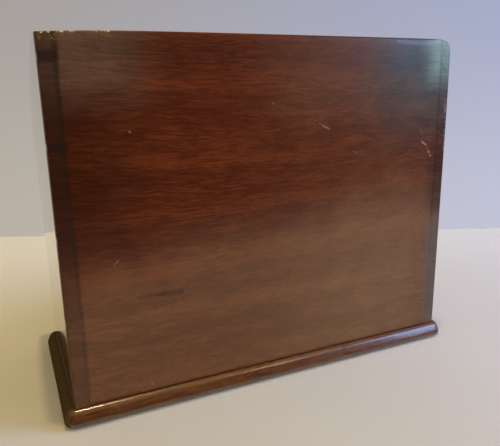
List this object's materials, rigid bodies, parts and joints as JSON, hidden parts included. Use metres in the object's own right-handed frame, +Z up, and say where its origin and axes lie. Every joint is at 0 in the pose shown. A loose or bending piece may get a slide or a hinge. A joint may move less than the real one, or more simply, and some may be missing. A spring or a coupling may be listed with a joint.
{
  "type": "letter rack",
  "caption": "Free-standing mahogany letter rack: a dovetailed case with curved ends, boards stepping up to a tall back to hold letters upright, on a bullnosed base.",
  "frame": {"origin": "middle of the footprint, on the surface that the rack stands on", "axes": "+Z up, +Y towards the tall back board, -Y the open front, +X to the right as seen from the front"},
  "size_m": [0.25, 0.1124, 0.196],
  "materials": {
    "polished_mahogany": "dark red-brown mahogany under a glossy French polish",
    "base_mahogany": "red-brown mahogany, French polished, with darker end grain",
    "divider_mahogany": "mahogany with a thin, duller polish",
    "screw_steel": "dull, darkened steel",
    "green_baize": "short napped green baize"
  },
  "bodies": {
    "root": {"base_board": "base_mahogany", "baize_sheet": "green_baize", "back_board": "polished_mahogany", "side_left": "polished_mahogany", "side_right": "polished_mahogany", "front_board": "polished_mahogany", "divider_front": "divider_mahogany", "divider_middle": "divider_mahogany", "divider_rear": "divider_mahogany", "base_screw_1": "screw_steel", "base_screw_2": "screw_steel", "base_screw_3": "screw_steel", "base_screw_4": "screw_steel"}
  },
  "joints": []
}
